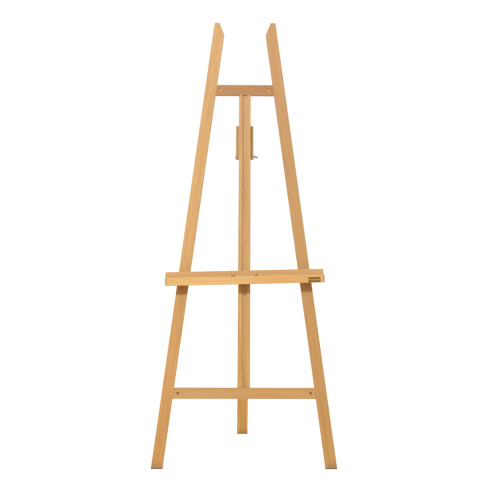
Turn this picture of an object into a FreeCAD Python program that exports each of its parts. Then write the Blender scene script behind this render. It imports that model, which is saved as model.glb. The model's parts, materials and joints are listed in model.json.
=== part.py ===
"""Wooden lyre easel: two splayed front legs, a grooved mast, a hinged rear leg and a sliding tray.

Millimetres, +Z up, -Y towards the painter.  The origin is on the floor, midway between the front
feet and the rear foot.  Every piece of the front frame is drawn upright: X across, Y is the depth
behind the front face, Z is the distance along the mast from the floor.  lean() then tips it back.
"""
import FreeCAD, Part
import math
import os

V = FreeCAD.Vector
X_AXIS = V(1, 0, 0)
Y_AXIS = V(0, 1, 0)
Z_AXIS = V(0, 0, 1)

# ---- overall sizes -------------------------------------------------------------------------
overall_height = 1750.0
lean_angle = 12.0
base_width = 729.0
top_width = 247.0
rear_foot_reach = 655.0

# ---- boards --------------------------------------------------------------------------------
leg_width = 46.0
leg_thickness = 22.0
leg_top_flat = 20.0
leg_top_drop = 50.0
edge_round = 1.5
foot_pad_thickness = 4.0

upper_bar_station = 1511.0
upper_bar_height = 42.5
lower_bar_station = 295.0
lower_bar_height = 45.0
bar_thickness = 20.0
bar_recess = 1.0

mast_width = 47.0
mast_thickness = 22.0
groove_width = 18.0
groove_depth = 8.0
tenon_width = 28.0
tenon_thickness = 8.0
tenon_length = 16.0
tenon_behind_groove = 1.0

# ---- bolted leg joints ---------------------------------------------------------------------
connector_radius = 3.0
connector_head_radius = 7.0
connector_head_height = 3.5
connector_head_sink = 5.0
hex_socket_across = 4.0
hex_socket_depth = 2.5
connector_tail = 9.0
barrel_radius = 5.0
barrel_length = 14.0
barrel_from_leg = 17.5
upper_barrel_sink = 2.5
lower_barrel_sink = 4.5
dowel_radius = 4.0
dowel_length = 32.0
dowel_offset = 13.0

# ---- hinge of the rear leg -----------------------------------------------------------------
hinge_station = 1247.0
hinge_behind_mast = 36.0
cheek_thickness = 11.5
cheek_behind_pivot = 24.0
cheek_lap = 5.0
cheek_bottom_margin = 9.0
cheek_corner = 12.0
hinge_block_height = 48.0
rear_leg_side_gap = 0.4
rear_leg_thickness = 22.0
stop_bevel = 10.0
head_clearance = 5.0
stop_gap = 0.3
hinge_bolt_radius = 4.0
hinge_bolt_tail = 20.0
hinge_head_radius = 9.0
hinge_head_height = 4.0
hinge_nut_hub_radius = 7.0
hinge_nut_hub_height = 9.0
hinge_nut_span = 36.0

# ---- tray ----------------------------------------------------------------------------------
tray_station = 761.6
tray_roll = 1.5
tray_length = 626.0
back_board_height = 52.0
back_board_thickness = 16.0
back_board_above_bolts = 16.8
channel_width = 44.0
ledge_thickness = 11.0
lip_height = 31.0
lip_below_ledge = 8.0
lip_thickness = 14.0
lip_end_round = 10.0
tray_bolt_from_mast = 22.0
tray_bolt_radius = 3.0
tray_head_radius = 6.5
tray_head_height = 3.0
tray_bolt_tail = 12.0
tray_nut_hub_radius = 5.5
tray_nut_hub_height = 7.0
tray_nut_span = 28.0
clamp_bar_end = 20.0
clamp_bar_height = 24.0
clamp_bar_thickness = 18.0
peg_depth_in_board = 10.0
tray_joint_count = 5
tray_dowel_radius = 3.0
tray_dowel_length = 22.0

# ---- nameplate -----------------------------------------------------------------------------
plate_length = 48.0
plate_height = 19.0
plate_thickness = 0.8
plate_from_end = 17.0
plate_drop = 4.5
plate_corner = 0.8
plate_pin_radius = 1.1
plate_pin_inset = 4.0

# ---- small hardware and fits ---------------------------------------------------------------
washer_thickness = 1.6
neck_margin = 0.2
screw_radius = 2.0
screw_head_radius = 4.0
screw_head_height = 2.6
slide_gap = 0.3
running_clearance = 0.06
hole_clearance = 0.25
glue_clearance = 0.05
groove_clearance = 0.3
peg_floor_gap = 1.0
nut_seat_gap = 0.05

# ---- worked-out values ---------------------------------------------------------------------
lean_rad = math.radians(lean_angle)
frame_length = overall_height / math.cos(lean_rad)
splay_rad = math.atan2((base_width - top_width) / 2, frame_length)
leg_width_level = leg_width / math.cos(splay_rad)
hinge_depth = mast_thickness + hinge_behind_mast
hinge_y = hinge_station * math.sin(lean_rad) + hinge_depth * math.cos(lean_rad)
hinge_z = hinge_station * math.cos(lean_rad) - hinge_depth * math.sin(lean_rad)
rear_rake_rad = math.atan2(rear_foot_reach - hinge_y, hinge_z)
spread_angle = lean_angle + math.degrees(rear_rake_rad)
rear_extreme = rear_foot_reach + rear_leg_thickness / 2 / math.cos(rear_rake_rad)
origin_shift = V(0, -rear_extreme / 2, 0)
spread_rad = math.radians(spread_angle)
head_to_mast = hinge_behind_mast - stop_gap - rear_leg_thickness / 2 * math.cos(spread_rad)
rear_leg_head = head_to_mast / math.sin(spread_rad) + stop_bevel
head_sweep = math.hypot(rear_leg_head, rear_leg_thickness / 2)
rear_leg_width = mast_width - 2 * rear_leg_side_gap
hinge_block_bottom = hinge_station + head_sweep + head_clearance
cheek_bottom = hinge_station - cheek_bottom_margin
cheek_top = hinge_block_bottom + hinge_block_height
cheek_front = mast_thickness - cheek_lap
cheek_back = hinge_depth + cheek_behind_pivot
cheek_outer = mast_width / 2 + cheek_thickness
board_front = -slide_gap - back_board_thickness
lip_back = board_front - channel_width
lip_front = lip_back - lip_thickness
tray_bottom = back_board_above_bolts - back_board_height
lip_bottom = tray_bottom - lip_below_ledge
clamp_front = mast_thickness + slide_gap
clamp_back = clamp_front + clamp_bar_thickness
tray_bolt_x = mast_width / 2 + tray_bolt_from_mast
plate_station = tray_length / 2 - plate_from_end - plate_length / 2
plate_pin_length = lip_thickness / 3
joint_depth = bar_recess + bar_thickness / 2
tenon_setback = groove_depth + tenon_behind_groove
peg_radius = groove_width / 2 - groove_clearance
below_floor = 60.0


# ---- placing -------------------------------------------------------------------------------
def lean(shape):
    """Tip a piece of the upright frame back to its real place on the floor."""
    leaned = shape.copy()
    leaned.rotate(V(0, 0, 0), X_AXIS, -lean_angle)
    leaned.translate(origin_shift)
    return leaned


def spread(shape):
    """Swing a piece of the folded rear leg out to where it stands."""
    swung = shape.copy()
    swung.rotate(V(0, hinge_depth, hinge_station), X_AXIS, spread_angle)
    return swung


def level_to_rest(shape):
    """Move a piece drawn about the tray's peg up the mast and roll it as it stands."""
    placed = shape.copy()
    placed.rotate(V(0, 0, 0), Y_AXIS, -tray_roll)
    placed.translate(V(0, 0, tray_station))
    return placed


# ---- building blocks -----------------------------------------------------------------------
def block(x0, x1, y0, y1, z0, z1):
    """A box between two corners."""
    return Part.makeBox(x1 - x0, y1 - y0, z1 - z0, V(x0, y0, z0))


def soften(shape, longer_than, radius=edge_round):
    """Round every straight edge longer than a given length, as sandpaper does."""
    edges = [edge for edge in shape.Edges if edge.Length > longer_than]
    return shape.makeFillet(radius, edges)


def board(x0, x1, y0, y1, z0, z1):
    """A planed board with its long edges rounded."""
    longest = max(x1 - x0, y1 - y0, z1 - z0)
    return soften(block(x0, x1, y0, y1, z0, z1), longest * 0.9)


def rod(radius, length, start, axis):
    """A round bar from a point along an axis."""
    return Part.makeCylinder(radius, length, start, axis)


def prism(points, y0, depth):
    """A closed outline of (x, z) points, extruded backwards from y0."""
    corners = [V(x, y0, z) for x, z in points]
    face = Part.Face(Part.makePolygon(corners + corners[:1]))
    return face.extrude(V(0, depth, 0))


def turned(profile, start, axis):
    """A solid turned from (radius, height) points about an axis through a point."""
    corners = [V(r, 0, h) for r, h in profile]
    face = Part.Face(Part.makePolygon(corners + corners[:1]))
    solid = face.revolve(V(0, 0, 0), Z_AXIS, 360)
    solid.Placement = FreeCAD.Placement(start, FreeCAD.Rotation(Z_AXIS, axis))
    return solid


def dome(radius, height, start, axis):
    """A shallow mushroom head: a spherical crown on a short straight rim."""
    rim_height = height * 0.3
    rise = height - rim_height
    sphere = (radius ** 2 + rise ** 2) / (2 * rise)
    half_angle = math.asin(radius / sphere) / 2
    rim = V(radius, 0, rim_height)
    middle = V(sphere * math.sin(half_angle), 0, height - sphere * (1 - math.cos(half_angle)))
    crown = V(0, 0, height)
    edges = [
        Part.makeLine(V(0, 0, 0), V(radius, 0, 0)),
        Part.makeLine(V(radius, 0, 0), rim),
        Part.Arc(rim, middle, crown).toShape(),
        Part.makeLine(crown, V(0, 0, 0)),
    ]
    solid = Part.Face(Part.Wire(edges)).revolve(V(0, 0, 0), Z_AXIS, 360)
    solid.Placement = FreeCAD.Placement(start, FreeCAD.Rotation(Z_AXIS, axis))
    return solid


def ring(inner, outer, thickness, start, axis):
    """A flat washer."""
    return rod(outer, thickness, start, axis).cut(rod(inner, thickness, start, axis))


def wood_screw(length, head_point, axis):
    """A countersunk screw: head_point is the middle of its flat head, axis points to its tip."""
    tip = screw_radius * 1.5
    profile = [
        (0, 0),
        (screw_head_radius, 0),
        (screw_radius, screw_head_height),
        (screw_radius, length - tip),
        (0, length),
    ]
    return turned(profile, head_point, axis)


def screw_hole(length, head_point, axis):
    """The drilling and countersink that a wood screw fills."""
    gap = glue_clearance
    head = screw_head_height + gap
    profile = [
        (0, 0),
        (screw_head_radius + gap, 0),
        (screw_radius + gap, head),
        (screw_radius + gap, length + gap),
        (0, length + gap),
    ]
    return turned(profile, head_point, axis)


def wing_nut(bolt_radius, hub_radius, hub_height, span, start, axis):
    """A two-eared nut: a waisted hub with a raised, rounded ear on each side."""
    bore = bolt_radius + running_clearance
    profile = [
        (bore, 0),
        (hub_radius, 0),
        (hub_radius * 0.8, hub_height),
        (bore, hub_height),
    ]
    corners = [V(r, 0, h) for r, h in profile]
    hub = Part.Face(Part.makePolygon(corners + corners[:1])).revolve(V(0, 0, 0), Z_AXIS, 360)
    ear_thickness = hub_radius * 0.4
    ear_radius = hub_height * 0.55
    reach = span / 2 - ear_radius
    rise = hub_height * 1.35
    root = (bore + hub_radius * 0.8) / 2
    nut = hub
    for side in (-1, 1):
        tip = rod(ear_radius, ear_thickness, V(side * reach, -ear_thickness / 2, rise), Y_AXIS)
        outline = [
            (side * root, hub_height * 0.15),
            (side * (reach + ear_radius * 0.85), rise - ear_radius * 0.5),
            (side * (reach - ear_radius * 0.6), rise + ear_radius * 0.8),
            (side * root, hub_height * 0.95),
        ]
        nut = nut.fuse([tip, prism(outline, -ear_thickness / 2, ear_thickness)])
    nut = nut.removeSplitter()
    nut.Placement = FreeCAD.Placement(start, FreeCAD.Rotation(Z_AXIS, axis))
    return nut


def floor_slab(z0, z1):
    """A wide slab between two heights above the floor."""
    wide = 4 * max(base_width, rear_foot_reach)
    return block(-wide, wide, -wide, wide, z0, z1)


def stand_on_pad(blank):
    """Cut a leg level, one pad's thickness above the floor."""
    return blank.cut(floor_slab(-4 * below_floor, foot_pad_thickness))


def foot_pad(blank):
    """The rubber pad under a leg, as wide and as deep as the leg's own level cut."""
    return blank.common(floor_slab(0, foot_pad_thickness))


# ---- front legs ----------------------------------------------------------------------------
def outer_edge(station):
    """Half the frame's width at a height along the mast."""
    return base_width / 2 - station * math.tan(splay_rad)


def inner_edge(station):
    """Half the open width between the legs at a height along the mast."""
    return outer_edge(station) - leg_width_level


def leg_blank(side):
    """One splayed leg with its shaped top, running on below the floor."""
    low = -below_floor
    shoulder = frame_length - leg_top_drop
    outline = [
        (side * outer_edge(low), low),
        (side * outer_edge(frame_length), frame_length),
        (side * (outer_edge(frame_length) - leg_top_flat), frame_length),
        (side * inner_edge(shoulder), shoulder),
        (side * inner_edge(low), low),
    ]
    return soften(prism(outline, 0, leg_thickness), leg_top_flat * 0.9)


def connector_line(side, station):
    """Where a leg bolt's head is bedded, and the way the bolt points."""
    return V(side * (outer_edge(station) - connector_head_sink), joint_depth, station), V(-side, 0, 0)


def dowel_starts(side, station):
    """The outer ends of the two dowels that keep a leg joint from turning."""
    joint_x = inner_edge(station)
    starts = []
    for offset in (-dowel_offset, dowel_offset):
        starts.append(V(side * (joint_x + dowel_length / 2), joint_depth, station + offset))
    return starts


def leg_joint_drillings(side, station):
    """Everything drilled for one leg joint: bolt, sunk head, barrel nut and dowels."""
    head, inward = connector_line(side, station)
    length = connector_length(station) + connector_tail
    drillings = [rod(connector_radius + hole_clearance, length, head, inward)]
    sink_start = head - inward * (connector_head_sink + leg_width)
    sink_length = connector_head_sink + leg_width + connector_head_height
    drillings.append(rod(connector_head_radius + hole_clearance, sink_length, sink_start, inward))
    for start in dowel_starts(side, station):
        drillings.append(rod(dowel_radius + glue_clearance, dowel_length, start, inward))
    return drillings


def connector_length(station):
    """From a leg bolt's bedded head to its barrel nut's axis."""
    return outer_edge(station) - connector_head_sink - barrel_x(station)


def barrel_x(station):
    """How far a barrel nut stands from the easel's middle."""
    return inner_edge(station) - barrel_from_leg


def front_leg_blank(side):
    """One front leg, drilled for both crossbars, before it is cut to the floor."""
    drillings = leg_joint_drillings(side, upper_bar_station)
    drillings += leg_joint_drillings(side, lower_bar_station)
    return lean(leg_blank(side).cut(drillings))


# ---- crossbars -----------------------------------------------------------------------------
def crossbar(station, height, barrel_sink, mortise_side):
    """A bar between the legs, its ends cut to the splay, with a mortise for the mast."""
    low = station - height / 2
    high = station + height / 2
    overlong = outer_edge(low)
    bar = board(-overlong, overlong, bar_recess, bar_recess + bar_thickness, low, high)
    openings = []
    for side in (-1, 1):
        beyond = [
            (side * inner_edge(low - height), low - height),
            (side * inner_edge(high + height), high + height),
            (side * 2 * overlong, high + height),
            (side * 2 * overlong, low - height),
        ]
        openings.append(prism(beyond, -leg_thickness, 3 * leg_thickness))
        openings += leg_joint_drillings(side, station)
        openings.append(
            rod(
                barrel_radius + hole_clearance,
                barrel_sink + barrel_length + hole_clearance,
                V(side * barrel_x(station), bar_recess, station),
                Y_AXIS,
            )
        )
    face = high if mortise_side > 0 else low
    openings.append(tenon(face, -mortise_side, glue_clearance))
    return bar.cut(openings)


def tenon(face, way, clearance):
    """The mast's stub tenon, or with clearance the mortise that takes it."""
    half = tenon_width / 2 + clearance
    front = tenon_setback - clearance
    back = tenon_setback + tenon_thickness + clearance
    tip = face + way * (tenon_length + clearance)
    return block(-half, half, front, back, min(face, tip), max(face, tip))


# ---- mast ----------------------------------------------------------------------------------
def mast():
    """The grooved upright between the crossbars, tenoned into both."""
    low = lower_bar_station + lower_bar_height / 2
    high = upper_bar_station - upper_bar_height / 2
    half = mast_width / 2
    body = board(-half, half, 0, mast_thickness, low, high)
    groove = block(-groove_width / 2, groove_width / 2, 0, groove_depth, low, high)
    body = body.cut(groove)
    return body.fuse([tenon(low, -1, 0), tenon(high, 1, 0)])


# ---- hinge ---------------------------------------------------------------------------------
def cheek_screw_heads(side):
    """Three screws through a cheek into the hinge block."""
    margin = hinge_block_height / 4
    near = mast_thickness + (cheek_back - mast_thickness) * 0.25
    far = mast_thickness + (cheek_back - mast_thickness) * 0.75
    spots = [(near, cheek_top - margin), (far, cheek_top - margin)]
    spots.append(((near + far) / 2, hinge_block_bottom + margin))
    return [V(side * cheek_outer, depth, station) for depth, station in spots]


def cheek_screw_length():
    """Through the cheek and a little over its own thickness into the block."""
    return cheek_thickness * 1.6


def hinge_block():
    """The block glued to the back of the mast that carries both cheeks."""
    half = mast_width / 2
    body = block(-half, half, mast_thickness, cheek_back, hinge_block_bottom, cheek_top)
    holes = []
    for side in (-1, 1):
        for head in cheek_screw_heads(side):
            holes.append(screw_hole(cheek_screw_length(), head, V(-side, 0, 0)))
    return body.cut(holes)


def hinge_cheek(side):
    """One side plate of the hinge, with rounded rear corners."""
    inner = side * mast_width / 2
    outer = side * cheek_outer
    body = block(min(inner, outer), max(inner, outer), cheek_front, cheek_back, cheek_bottom, cheek_top)
    rear = []
    for edge in body.Edges:
        middle = edge.CenterOfMass
        if abs(edge.Length - cheek_thickness) < 0.01 and middle.y > cheek_back - 0.01:
            rear.append(edge)
    body = body.makeFillet(cheek_corner, rear)
    rim = []
    for edge in body.Edges:
        if abs(edge.CenterOfMass.x - outer) < 0.01:
            rim.append(edge)
    body = body.makeFillet(edge_round, rim)
    holes = [screw_hole(cheek_screw_length(), head, V(-side, 0, 0)) for head in cheek_screw_heads(side)]
    pivot = V(-cheek_outer - 1, hinge_depth, hinge_station)
    holes.append(rod(hinge_bolt_radius + hole_clearance, 2 * cheek_outer + 2, pivot, X_AXIS))
    if side < 0:
        holes.append(hinge_neck(hole_clearance))
    return body.cut(holes)


def hinge_neck(clearance):
    """The square under the hinge bolt's head, or with clearance its socket."""
    half = hinge_bolt_radius + neck_margin + clearance
    length = cheek_thickness / 2 + clearance
    return block(
        -cheek_outer,
        -cheek_outer + length,
        hinge_depth - half,
        hinge_depth + half,
        hinge_station - half,
        hinge_station + half,
    )


def hinge_bolt():
    """A carriage bolt through both cheeks and the rear leg."""
    length = 2 * cheek_outer + hinge_bolt_tail
    start = V(-cheek_outer, hinge_depth, hinge_station)
    shank = rod(hinge_bolt_radius, length, start, X_AXIS)
    head = dome(hinge_head_radius, hinge_head_height, start, V(-1, 0, 0))
    return shank.fuse([head, hinge_neck(0)])


def hinge_washer():
    """The washer between the right cheek and the wing nut."""
    start = V(cheek_outer, hinge_depth, hinge_station)
    inner = hinge_bolt_radius + hole_clearance
    return ring(inner, hinge_bolt_radius * 2, washer_thickness, start, X_AXIS)


def hinge_wing_nut():
    """The wing nut that pinches the rear leg between the cheeks."""
    start = V(cheek_outer + washer_thickness + nut_seat_gap, hinge_depth, hinge_station)
    nut = wing_nut(
        hinge_bolt_radius, hinge_nut_hub_radius, hinge_nut_hub_height, hinge_nut_span, start, X_AXIS
    )
    nut.rotate(start, X_AXIS, 90)
    return nut


def cheek_screws():
    """The screws of both cheeks."""
    screws = []
    for side in (-1, 1):
        for head in cheek_screw_heads(side):
            screws.append(wood_screw(cheek_screw_length(), head, V(-side, 0, 0)))
    return Part.makeCompound(screws)


# ---- rear leg ------------------------------------------------------------------------------
def rear_leg_blank():
    """The rear leg, spread, with its head bevelled to seat on the back of the mast."""
    half = rear_leg_width / 2
    half_thickness = rear_leg_thickness / 2
    top = hinge_station + rear_leg_head
    front = hinge_depth - half_thickness
    back = hinge_depth + half_thickness
    body = board(-half, half, front, back, -below_floor - hinge_depth, top)
    pivot = V(-half, hinge_depth, hinge_station)
    body = body.cut(rod(hinge_bolt_radius + running_clearance, rear_leg_width, pivot, X_AXIS))
    seat = block(-mast_width, mast_width, -mast_width, mast_thickness + stop_gap, 0, frame_length)
    return lean(spread(body).cut(seat))


# ---- leg joint hardware --------------------------------------------------------------------
def leg_bolt(side, station):
    """A flat-headed connector bolt with a hexagon socket."""
    head, inward = connector_line(side, station)
    shank = rod(connector_radius, connector_length(station) + connector_tail, head, inward)
    cap = rod(connector_head_radius, connector_head_height, head, inward)
    socket_radius = hex_socket_across / 2 / math.cos(math.radians(30))
    angles = [math.radians(60 * corner) for corner in range(6)]
    corners = []
    for angle in angles:
        across = V(0, socket_radius * math.cos(angle), socket_radius * math.sin(angle))
        corners.append(head + across)
    socket = Part.Face(Part.makePolygon(corners + corners[:1])).extrude(inward * hex_socket_depth)
    return shank.fuse(cap).cut(socket)


def leg_bolts(station):
    """The pair of leg bolts of one crossbar."""
    return Part.makeCompound([leg_bolt(side, station) for side in (-1, 1)])


def barrel_nuts(station, sink):
    """The pair of barrel nuts of one crossbar, each cross-drilled for its bolt."""
    nuts = []
    for side in (-1, 1):
        start = V(side * barrel_x(station), bar_recess + sink, station)
        nut = rod(barrel_radius, barrel_length, start, Y_AXIS)
        across = V(start.x - 2 * barrel_radius, joint_depth, station)
        nuts.append(nut.cut(rod(connector_radius + glue_clearance, 4 * barrel_radius, across, X_AXIS)))
    return Part.makeCompound(nuts)


def leg_dowels():
    """The beech dowels beside every leg bolt."""
    dowels = []
    for station in (upper_bar_station, lower_bar_station):
        for side in (-1, 1):
            for start in dowel_starts(side, station):
                dowels.append(rod(dowel_radius, dowel_length, start, V(-side, 0, 0)))
    return Part.makeCompound(dowels)


# ---- tray ----------------------------------------------------------------------------------
def spaced(count, length):
    """Evenly spaced places along the tray, with half a space at each end."""
    step = length / count
    return [-length / 2 + step * (index + 0.5) for index in range(count)]


def ledge_screw_heads():
    """Screws from the back board's rear face into the ledge."""
    height = tray_bottom + ledge_thickness / 2
    return [V(x, -slide_gap, height) for x in spaced(tray_joint_count, tray_length)]


def ledge_screw_length():
    """Through the back board and as far again into the ledge."""
    return back_board_thickness * 2.2


def lip_dowel_starts():
    """Blind dowels from the ledge into the lip."""
    height = tray_bottom + ledge_thickness / 2
    start_y = lip_back - lip_thickness * 0.6
    return [V(x, start_y, height) for x in spaced(tray_joint_count, tray_length)]


def lip_dowel_holes():
    """The drillings that the lip dowels are glued into."""
    radius = tray_dowel_radius + glue_clearance
    return [rod(radius, tray_dowel_length, start, Y_AXIS) for start in lip_dowel_starts()]


def tray_back_board():
    """The tall board that slides on the front of the mast and legs."""
    half = tray_length / 2
    top = back_board_above_bolts
    body = board(-half, half, board_front, -slide_gap, tray_bottom, top)
    peg_start = V(0, -slide_gap - peg_depth_in_board, 0)
    holes = [rod(peg_radius + running_clearance, peg_depth_in_board, peg_start, Y_AXIS)]
    for x in (-tray_bolt_x, tray_bolt_x):
        bolt_start = V(x, board_front, 0)
        holes.append(rod(tray_bolt_radius + hole_clearance, back_board_thickness, bolt_start, Y_AXIS))
        holes.append(tray_neck(x, hole_clearance))
    holes += [screw_hole(ledge_screw_length(), head, V(0, -1, 0)) for head in ledge_screw_heads()]
    return body.cut(holes)


def tray_ledge():
    """The flat ledge that a canvas stands on."""
    half = tray_length / 2
    body = block(-half, half, lip_back, board_front, tray_bottom, tray_bottom + ledge_thickness)
    holes = [screw_hole(ledge_screw_length(), head, V(0, -1, 0)) for head in ledge_screw_heads()]
    return body.cut(holes + lip_dowel_holes())


def tray_lip():
    """The front lip, its ends rounded over."""
    half = tray_length / 2
    body = block(-half, half, lip_front, lip_back, lip_bottom, lip_bottom + lip_height)
    ends = []
    for edge in body.Edges:
        upright = abs(edge.Length - lip_height) < 0.01
        if upright and edge.CenterOfMass.y < lip_front + 0.01:
            ends.append(edge)
    body = soften(body.makeFillet(lip_end_round, ends), tray_length * 0.9)
    radius = plate_pin_radius + glue_clearance
    pin_holes = [rod(radius, plate_pin_length, start, Y_AXIS) for start in plate_pin_starts()]
    return body.cut(lip_dowel_holes() + pin_holes)


def ledge_screws():
    """The screws that join the back board to the ledge."""
    screws = [wood_screw(ledge_screw_length(), head, V(0, -1, 0)) for head in ledge_screw_heads()]
    return Part.makeCompound(screws)


def lip_dowels():
    """The dowels that join the lip to the ledge."""
    dowels = [rod(tray_dowel_radius, tray_dowel_length, start, Y_AXIS) for start in lip_dowel_starts()]
    return Part.makeCompound(dowels)


def tray_neck(x, clearance):
    """The square under a tray bolt's head, or with clearance its socket."""
    half = tray_bolt_radius + neck_margin + clearance
    length = back_board_thickness / 3 + clearance
    return block(x - half, x + half, board_front, board_front + length, -half, half)


def tray_bolts():
    """Two carriage bolts from the back board to the clamp bar, one each side of the mast."""
    bolts = []
    length = clamp_back - board_front + washer_thickness + tray_bolt_tail
    for x in (-tray_bolt_x, tray_bolt_x):
        start = V(x, board_front, 0)
        shank = rod(tray_bolt_radius, length, start, Y_AXIS)
        head = dome(tray_head_radius, tray_head_height, start, V(0, -1, 0))
        bolts.append(shank.fuse([head, tray_neck(x, 0)]))
    return Part.makeCompound(bolts)


def clamp_bar():
    """The bar behind the mast that the tray bolts pull against it."""
    half = tray_bolt_x + clamp_bar_end
    body = board(-half, half, clamp_front, clamp_back, -clamp_bar_height / 2, clamp_bar_height / 2)
    holes = []
    for x in (-tray_bolt_x, tray_bolt_x):
        start = V(x, clamp_front, 0)
        holes.append(rod(tray_bolt_radius + hole_clearance, clamp_bar_thickness, start, Y_AXIS))
    return body.cut(holes)


def tray_washers():
    """The washers behind the clamp bar."""
    inner = tray_bolt_radius + hole_clearance
    outer = tray_bolt_radius * 2
    starts = [V(x, clamp_back, 0) for x in (-tray_bolt_x, tray_bolt_x)]
    return Part.makeCompound([ring(inner, outer, washer_thickness, start, Y_AXIS) for start in starts])


def tray_wing_nut(side):
    """One of the two wing nuts that clamp the tray."""
    seat = clamp_back + washer_thickness + nut_seat_gap
    start = V(side * tray_bolt_x, seat, 0)
    nut = wing_nut(tray_bolt_radius, tray_nut_hub_radius, tray_nut_hub_height, tray_nut_span, start, Y_AXIS)
    nut.rotate(start, Y_AXIS, 90)
    return nut


def guide_peg():
    """The round peg on the tray that rides in the mast's groove."""
    length = peg_depth_in_board + slide_gap + groove_depth - peg_floor_gap
    return rod(peg_radius, length, V(0, -slide_gap - peg_depth_in_board, 0), Y_AXIS)


# ---- nameplate -----------------------------------------------------------------------------
def plate_middle():
    """The height of the nameplate's middle, measured from the tray bolts."""
    return lip_bottom + lip_height / 2 - plate_drop


def plate_pin_starts():
    """Where both plate pins enter, on the plate's face."""
    offset = plate_length / 2 - plate_pin_inset
    y = lip_front - plate_thickness
    return [V(plate_station - offset, y, plate_middle()), V(plate_station + offset, y, plate_middle())]


def nameplate():
    """A blank plate with rounded corners on the lip."""
    low = plate_middle() - plate_height / 2
    left = plate_station - plate_length / 2
    front = lip_front - plate_thickness
    body = block(left, left + plate_length, front, lip_front, low, low + plate_height)
    corners = [edge for edge in body.Edges if abs(edge.Length - plate_thickness) < 0.01]
    body = body.makeFillet(plate_corner, corners)
    radius = plate_pin_radius + glue_clearance
    return body.cut([rod(radius, plate_thickness, start, Y_AXIS) for start in plate_pin_starts()])


def plate_pins():
    """Two round-headed pins through the nameplate."""
    pins = []
    for start in plate_pin_starts():
        head = dome(plate_pin_radius * 1.6, plate_pin_radius * 0.8, start, V(0, -1, 0))
        pins.append(rod(plate_pin_radius, plate_pin_length, start, Y_AXIS).fuse(head))
    return Part.makeCompound(pins)


# ---- assembly ------------------------------------------------------------------------------
def frame_nodes():
    """Every piece of the standing frame, named."""
    left = front_leg_blank(-1)
    right = front_leg_blank(1)
    upper = crossbar(upper_bar_station, upper_bar_height, upper_barrel_sink, -1)
    lower = crossbar(lower_bar_station, lower_bar_height, lower_barrel_sink, 1)
    return {
        "left_leg": stand_on_pad(left),
        "right_leg": stand_on_pad(right),
        "left_foot_pad": foot_pad(left),
        "right_foot_pad": foot_pad(right),
        "upper_crossbar": lean(upper),
        "lower_crossbar": lean(lower),
        "mast": lean(mast()),
        "hinge_block": lean(hinge_block()),
        "left_hinge_cheek": lean(hinge_cheek(-1)),
        "right_hinge_cheek": lean(hinge_cheek(1)),
        "cheek_screws": lean(cheek_screws()),
        "hinge_bolt": lean(hinge_bolt()),
        "hinge_washer": lean(hinge_washer()),
        "hinge_wing_nut": lean(hinge_wing_nut()),
        "upper_leg_bolts": lean(leg_bolts(upper_bar_station)),
        "lower_leg_bolts": lean(leg_bolts(lower_bar_station)),
        "upper_barrel_nuts": lean(barrel_nuts(upper_bar_station, upper_barrel_sink)),
        "lower_barrel_nuts": lean(barrel_nuts(lower_bar_station, lower_barrel_sink)),
        "leg_dowels": lean(leg_dowels()),
    }


def rear_leg_nodes():
    """The rear leg and its pad."""
    blank = rear_leg_blank()
    return {"rear_leg": stand_on_pad(blank), "rear_foot_pad": foot_pad(blank)}


def tray_nodes():
    """Every piece that slides with the tray."""
    pieces = {
        "tray_back_board": tray_back_board(),
        "tray_ledge": tray_ledge(),
        "tray_lip": tray_lip(),
        "ledge_screws": ledge_screws(),
        "lip_dowels": lip_dowels(),
        "tray_bolts": tray_bolts(),
        "clamp_bar": clamp_bar(),
        "tray_washers": tray_washers(),
        "left_tray_wing_nut": tray_wing_nut(-1),
        "right_tray_wing_nut": tray_wing_nut(1),
        "guide_peg": guide_peg(),
        "nameplate": nameplate(),
        "plate_pins": plate_pins(),
    }
    return {name: lean(level_to_rest(piece)) for name, piece in pieces.items()}


def main():
    """Build every piece, say how big it is and write it to its own file."""
    os.makedirs("parts", exist_ok=True)
    nodes = {**frame_nodes(), **rear_leg_nodes(), **tray_nodes()}
    for name, shape in nodes.items():
        if not shape.isValid():
            raise ValueError(name + " is not a valid solid")
        shape.exportStep("parts/" + name + ".step")
        print(f"{name:22s} solids {len(shape.Solids):2d}  volume {shape.Volume / 1000:9.2f} cm3")
    whole = Part.makeCompound(list(nodes.values())).BoundBox
    print(f"size {whole.XLength:.1f} x {whole.YLength:.1f} x {whole.ZLength:.1f}")
    print(f"spread angle {spread_angle:.4f}, hinge at y {hinge_y - rear_extreme / 2:.3f} z {hinge_z:.3f}")


main()
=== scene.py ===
"""Looks of a wooden lyre easel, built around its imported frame.

The boards keep the frame's own meshes and get oiled beech, with the grain along each board.  The
hardware is modelled again here: threaded bolts, wing nuts, screws with a cross recess, slotted
barrel nuts and a blank nameplate.  Metres, +Z up, -Y towards the painter.
"""

import json
import logging
import math
from dataclasses import dataclass
from enum import Enum

import bpy
import numpy as np
from mathutils import Euler, Matrix, Vector


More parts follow.
